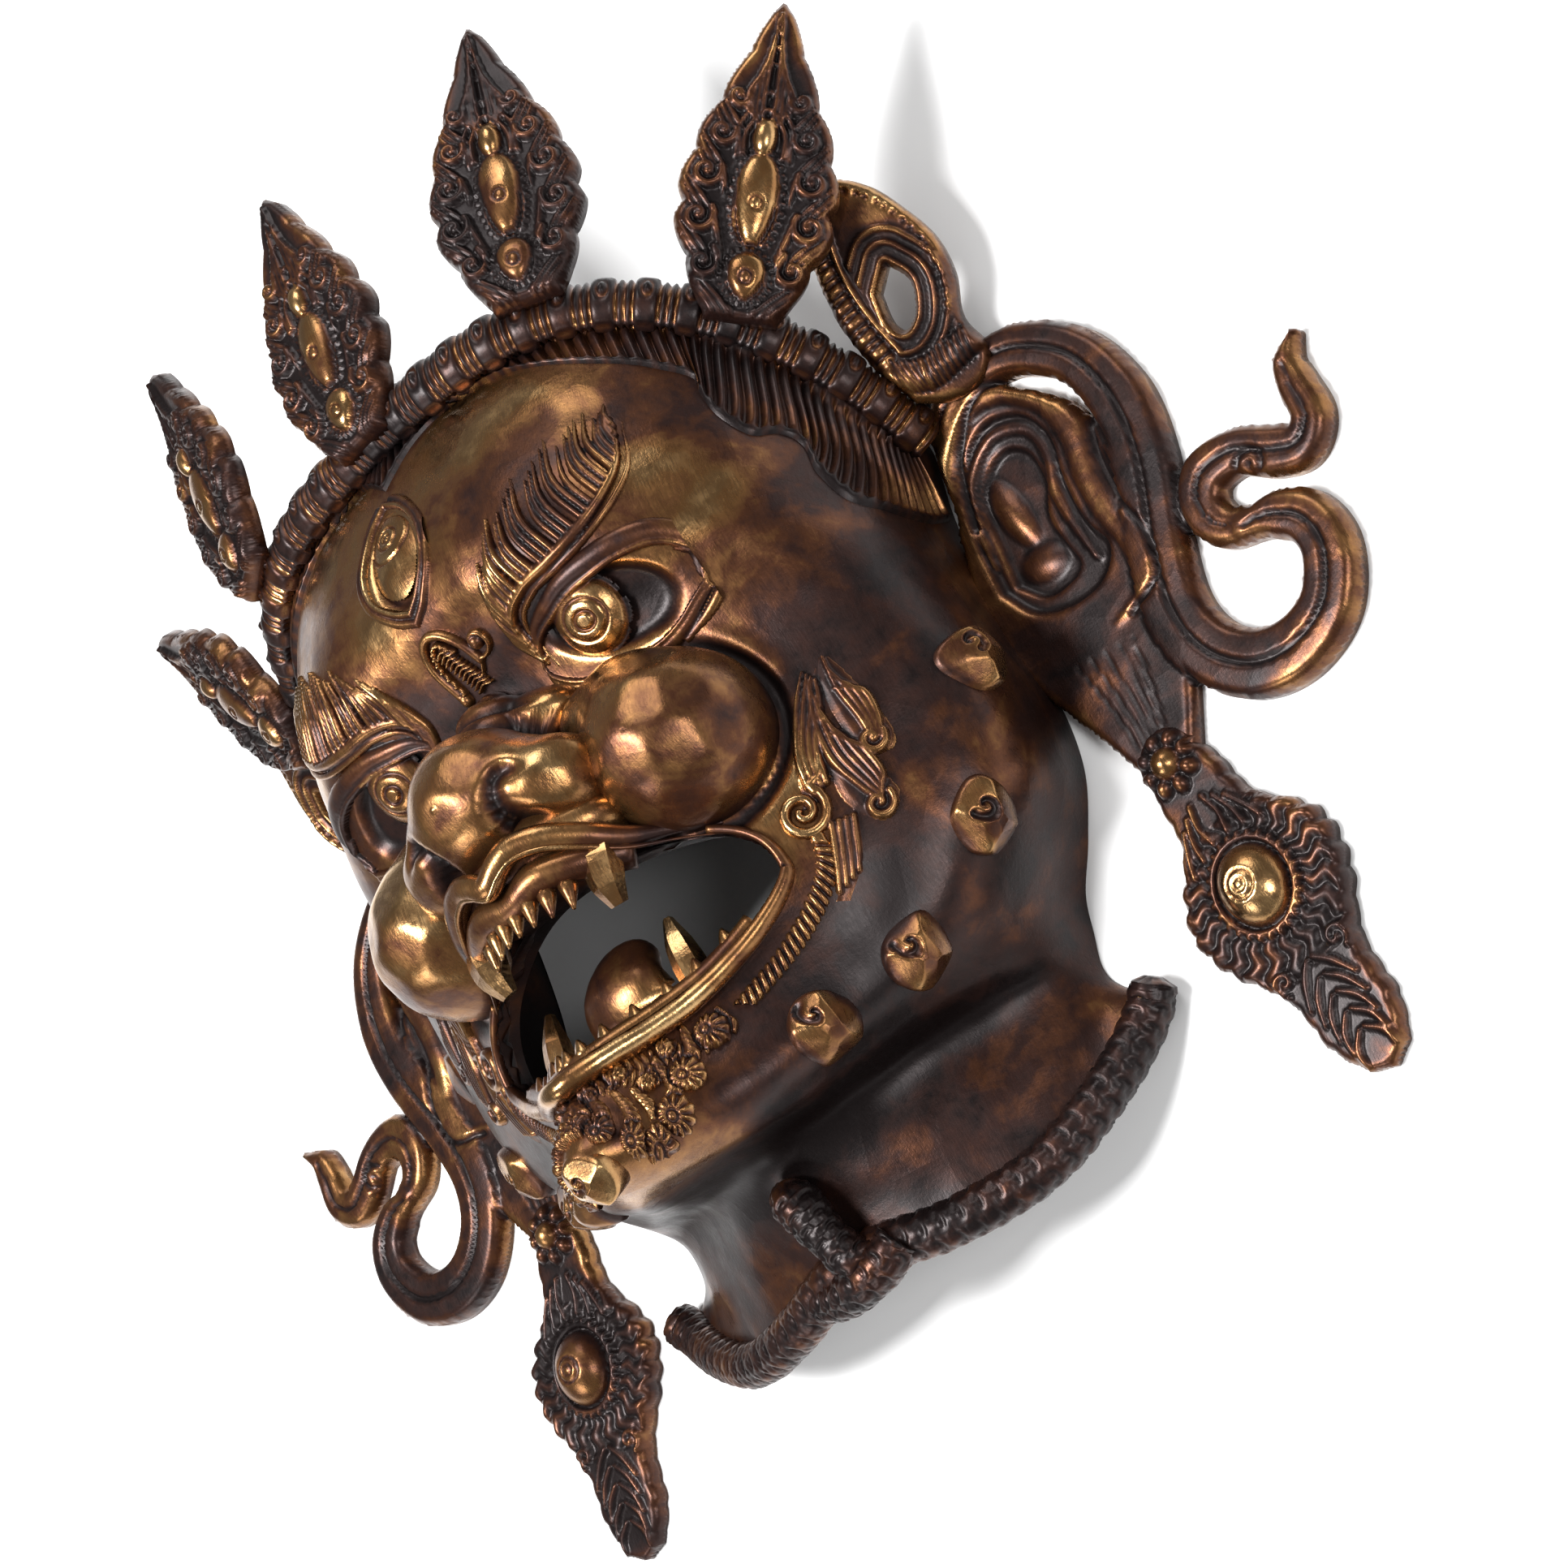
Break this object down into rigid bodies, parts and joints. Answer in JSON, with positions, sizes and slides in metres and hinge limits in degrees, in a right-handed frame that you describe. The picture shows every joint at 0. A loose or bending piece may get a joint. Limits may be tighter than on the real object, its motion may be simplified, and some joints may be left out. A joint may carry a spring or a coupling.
{
  "type": "bhairava mask",
  "caption": "Hollow cast copper-alloy temple mask of a wrathful deity with leaf crown, side ribbons, pendants and snake collar, lying face up",
  "frame": {"origin": "middle of the outline, at the level of the open back that the mask lies on", "axes": "+X to the mask's left ear (the viewer's right), +Y from the neck to the crown, +Z out of the face"},
  "size_m": [0.4162, 0.3568, 0.1348],
  "materials": {
    "bronze": "dark brown patina, polished golden high spots, semi-gloss"
  },
  "bodies": {
    "root": {"mask": "bronze"}
  },
  "joints": []
}
